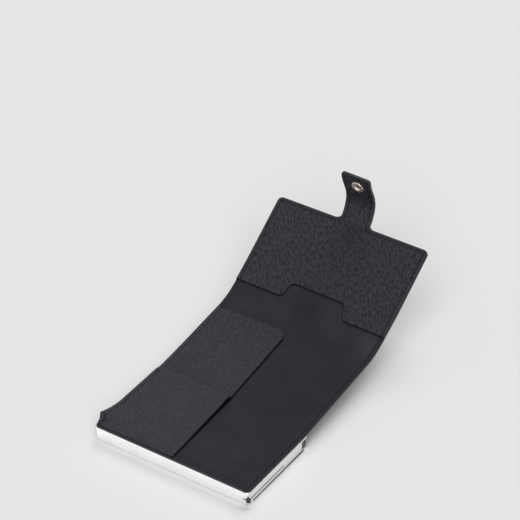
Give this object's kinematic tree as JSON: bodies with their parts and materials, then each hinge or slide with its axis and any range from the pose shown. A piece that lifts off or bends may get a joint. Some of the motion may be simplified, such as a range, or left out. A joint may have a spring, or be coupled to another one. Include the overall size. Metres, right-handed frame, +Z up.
{
  "type": "metal card holder wallet",
  "caption": "Flat metal card case with a corner ejector lever, under a folding leather wallet with pockets and a snap strap, lying open.",
  "frame": {"origin": "centre of the metal case's flat underside, which the whole wallet rests on", "axes": "+Z up out of the base plate through the case, +Y across the case towards the opened flap and strap, +X along the case towards the end with the ejector lever"},
  "size_m": [0.1053, 0.1969, 0.0929],
  "materials": {
    "case_aluminium": "fine satin anodised",
    "steel_plate": "fine brushed",
    "black_plastic": "matt moulded",
    "felt": "short pile felt",
    "grain_leather": "pebble grain, satin",
    "smooth_leather": "smooth, semi-matt",
    "snap_metal": "polished warm nickel"
  },
  "bodies": {
    "case": {"case_cover": "case_aluminium", "case_base_plate": "steel_plate", "mouth_frame": "black_plastic", "mouth_felt": "felt", "card_rail_near": "black_plastic", "card_rail_far": "black_plastic", "card_spring_leaf": "steel_plate", "lever_housing": "black_plastic", "pivot_pin": "steel_plate", "base_screw_inner": "steel_plate", "base_screw_outer": "steel_plate", "near_outer_leather": "grain_leather", "near_lining": "smooth_leather", "near_pocket_strip": "grain_leather"},
    "ejector": {"ejector_lever": "black_plastic", "ejector_tab": "black_plastic"},
    "middle_panel": {"middle_outer_leather": "grain_leather", "middle_lining": "smooth_leather", "middle_pocket_strip": "grain_leather", "snap_stud": "snap_metal"},
    "gusset": {"gusset_outer_leather": "grain_leather", "gusset_lining": "smooth_leather"},
    "flap": {"flap_outer_leather": "grain_leather", "flap_lining": "smooth_leather", "flap_pocket": "grain_leather"},
    "strap_root": {"strap_root_outer": "grain_leather", "strap_root_facing": "grain_leather"},
    "strap_tip": {"strap_tip_outer": "grain_leather", "strap_tip_facing": "grain_leather", "snap_socket": "snap_metal", "snap_cap": "snap_metal"}
  },
  "joints": [
    {"name": "middle_fold", "type": "hinge", "parent": "case", "child": "middle_panel", "pos_m": [0, 0.031, 0.0112], "axis": [1, 0, 0], "range_deg": [-6.3, 173.7]},
    {"name": "gusset_fold", "type": "hinge", "parent": "middle_panel", "child": "gusset", "pos_m": [0, 0.09324, 0.01697], "axis": [1, 0, 0], "range_deg": [-11.2, 78.8]},
    {"name": "flap_fold", "type": "hinge", "parent": "gusset", "child": "flap", "pos_m": [0, 0.1064, 0.02111], "axis": [1, 0, 0], "range_deg": [-17.7, 72.3]},
    {"name": "strap_root_bend", "type": "hinge", "parent": "flap", "child": "strap_root", "pos_m": [0, 0.1596, 0.05986], "axis": [1, 0, 0], "range_deg": [-42.8, 47.2]},
    {"name": "strap_tip_bend", "type": "hinge", "parent": "strap_root", "child": "strap_tip", "pos_m": [0, 0.16375, 0.07605], "axis": [1, 0, 0], "range_deg": [-27, 63]},
    {"name": "ejector_turn", "type": "hinge", "parent": "case", "child": "ejector", "pos_m": [0.04, -0.017, 0.0041], "axis": [0, 0, 1], "range_deg": [0, 34]}
  ]
}
